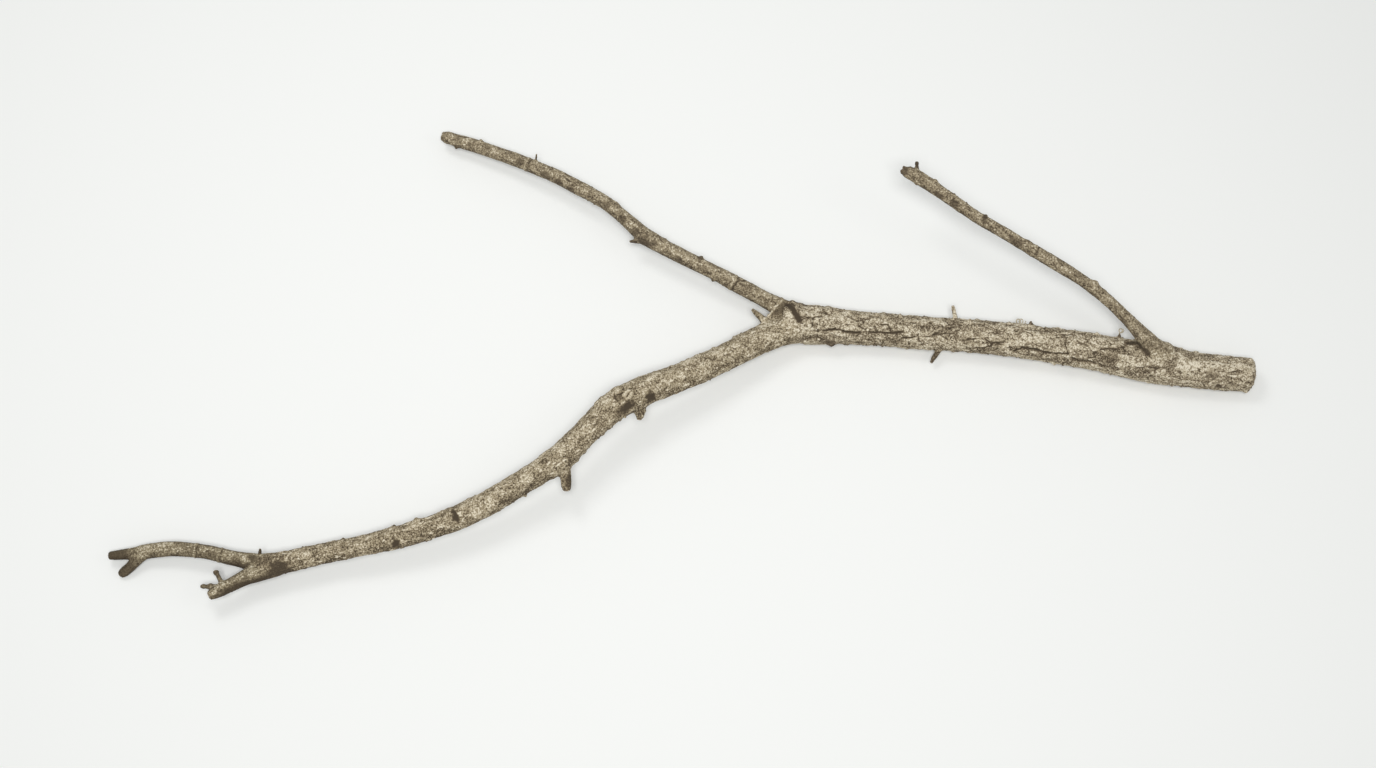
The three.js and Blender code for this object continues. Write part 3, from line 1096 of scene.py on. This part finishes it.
# Where the line of a split crosses itself at a corner, all the faces round that corner go to one limb: the
# first of their limbs in the list of wood.
SPLIT_ROUNDS = 40  # at most
two_sides = face_of_loop[np.argsort(loop_edge, kind="stable")].reshape(-1, 2)
for _ in range(SPLIT_ROUNDS):
    pinched = np.zeros(COUNT, bool)
    for i in range(len(LIMBS)):
        on_rim = (face_owner[two_sides] == i).sum(axis=1) == 1
        pinched |= np.bincount(edges[on_rim].ravel(), minlength=COUNT) > 2
    if not pinched.any():
        break
    first_limb = np.full(COUNT, len(LIMBS))
    np.minimum.at(first_limb, loop_corner, face_owner[face_of_loop])
    touched = pinched[loop_corner]
    face_owner[face_of_loop[touched]] = first_limb[loop_corner[touched]]


def new_piece(name, bm, material):
    """The shape as an object in the scene, with one material."""
    mesh = bpy.data.meshes.new(name)
    bm.to_mesh(mesh)
    bm.free()
    mesh.materials.append(material)
    piece = bpy.data.objects.new(name, mesh)
    bpy.context.scene.collection.objects.link(piece)
    return piece


def limb_piece(i, limb_name):
    """One limb's part of the skin, as an object in metres that stands for the limb's solid."""
    bm = bmesh.new()
    bm.from_mesh(skin)
    others = [face for face, mine in zip(bm.faces, face_owner == i) if not mine]
    bmesh.ops.delete(bm, geom=others, context="FACES")
    rims = [edge for edge in bm.edges if edge.is_boundary]
    caps = bmesh.ops.holes_fill(bm, edges=rims, sides=0)["faces"]
    bmesh.ops.poke(bm, faces=caps)
    for face in bm.faces:
        face.smooth = True
    bmesh.ops.recalc_face_normals(bm, faces=bm.faces)
    bmesh.ops.scale(bm, vec=(MM, MM, MM), verts=bm.verts)
    piece = new_piece("wood_" + limb_name, bm, MATERIALS[WOOD[limb_name]["bark"]])
    # The limb is shaded as part of the whole branch, so that no line shows where it was split off.
    mesh = piece.data
    shading = column_of(mesh.attributes["outward"].data, "vector", np.float32, 3)
    mesh.normals_split_custom_set_from_vertices(shading.tolist())
    mesh.attributes.remove(mesh.attributes["outward"])
    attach(piece, "root")
    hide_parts(limb_name)


for i, limb_name in enumerate(LIMBS):
    limb_piece(i, limb_name)
bpy.data.meshes.remove(skin)


def peeling_material():
    """Dry peeled inner bark: thin, pale and matt, with fine darker spots."""
    material, tree = new_material("peeled_bark")
    place_here = node(tree, "ShaderNodeTexCoord").outputs["Object"]
    fine = {"Vector": place_here, "Scale": pattern_scale(1), "Detail": 2.0}
    spots = node(tree, "ShaderNodeTexNoise", fine)
    spotted = colour_ramp(tree, spots.outputs["Fac"], [(0.3, "#8f846c"), (0.7, "#d9d0bc")])
    give_surface(tree, {"Base Color": spotted, "Roughness": 0.9, "Specular IOR Level": 0.2})
    return material


# Thin curls of peeled bark on the far edge of the stem:
# (middle, loop radius, turns, sideways run, thickness).
PEELINGS = [
    ((288.6, 31.2, 22.6), 2.3, 2.3, 5.2, 0.65),
    ((377.3, 20.2, 29.0), 1.8, 1.4, 1.2, 0.65),
    ((390.5, 12.0, 42.0), 1.5, 0.8, 1.5, 0.4),
]
EDGEWAYS = np.array([0, 0.94, 0.34])  # out from the far edge of the stem
FACEWAYS = np.array([0, -0.34, 0.94])  # up from the curl's face
CURL_STATIONS = 12  # in each turn
CURL_STEP = 0.3  # between two samples along a curl
CURL_RISE = 1.1  # in each turn
CURL_TAPER = 0.4  # share of the thickness that is lost by its tip


def peelings_piece():
    """The curls as one object of closed tubes in metres."""
    bm = bmesh.new()
    for middle, radius, turns, run, thick in PEELINGS:
        stations = []
        for share in np.linspace(0, 1, int(CURL_STATIONS * turns)):
            turn = 2 * math.pi * turns * share - math.pi / 2
            spot = np.array(middle) + EDGEWAYS * radius * math.sin(turn)
            spot += FACEWAYS * CURL_RISE * turns * share
            spot[0] += run * share + radius * math.cos(turn)
            stations.append((*spot, thick * (1 - CURL_TAPER * share)))
        grow(bm, heart_of(stations, CURL_STEP), CURL_SIDES)
    bmesh.ops.recalc_face_normals(bm, faces=bm.faces)
    for face in bm.faces:
        face.smooth = len(face.verts) == 4
    bmesh.ops.scale(bm, vec=(MM, MM, MM), verts=bm.verts)
    piece = new_piece("bark_peelings", bm, peeling_material())
    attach(piece, "root")


peelings_piece()


def floor_material():
    """Matt white paper sheet: even, pale and without gloss."""
    material, tree = new_material("white_paper")
    give_surface(tree, {"Base Color": linear("#f4f5f3"), "Roughness": 0.95, "Specular IOR Level": 0.1})
    return material


FLOOR_HALF = 12  # half the side of the sheet, in metres: its edges stay out of sight in low views


def make_floor():
    """The pale sheet that the branch lies on."""
    bm = bmesh.new()
    bmesh.ops.create_grid(bm, x_segments=2, y_segments=2, size=FLOOR_HALF)
    sheet = new_piece("floor_sheet", bm, floor_material())


make_floor()


def softbox(name, at, toward, size, power, spread):
    """A large soft studio light that faces a point, with its power in watts and its spread in degrees."""
    lamp = bpy.data.lights.new(name, "AREA")
    lamp.shape = "SQUARE"
    lamp.size = size
    lamp.energy = power
    lamp.spread = math.radians(spread)
    holder = bpy.data.objects.new(name, lamp)
    holder.location = at
    holder.rotation_euler = (Vector(toward) - Vector(at)).to_track_quat("-Z", "Y").to_euler()
    bpy.context.scene.collection.objects.link(holder)


softbox("front_softbox", (0, -1.0, 2.75), (-0.1, 0.4, 0), 0.8, 21.8, 120)
softbox("right_softbox", (1.28, -0.29, 1.54), (0, 0, 0), 0.6, 1.2, 180)
softbox("left_softbox", (-0.6, 0.6, 1.75), (0, 0, 0), 0.6, 5.5, 180)

world = bpy.data.worlds.new("studio")
world.use_nodes = True
world.node_tree.nodes.clear()
room = node(world.node_tree, "ShaderNodeBackground", {"Color": linear("#fdfefd"), "Strength": 0.35})
node(world.node_tree, "ShaderNodeOutputWorld", {"Surface": room.outputs["Background"]})
bpy.context.scene.world = world
bpy.context.scene.view_settings.view_transform = "Standard"

# The camera looks down at 70 degrees from the front, far enough away for a long lens.
VIEW_TARGET = Vector((0, -0.026, 0.020))
VIEW_ANGLE = math.radians(70)
VIEW_DISTANCE = 1.9952  # metres
photo_camera = bpy.data.cameras.new("photo_camera")
photo_camera.lens = 60
photo_camera.sensor_width = 36
camera = bpy.data.objects.new("photo_camera", photo_camera)
toward_camera = Vector((0, -math.cos(VIEW_ANGLE), math.sin(VIEW_ANGLE)))
camera.location = VIEW_TARGET + VIEW_DISTANCE * toward_camera
camera.rotation_euler = toward_camera.to_track_quat("Z", "Y").to_euler()
bpy.context.scene.collection.objects.link(camera)
bpy.context.scene.camera = camera
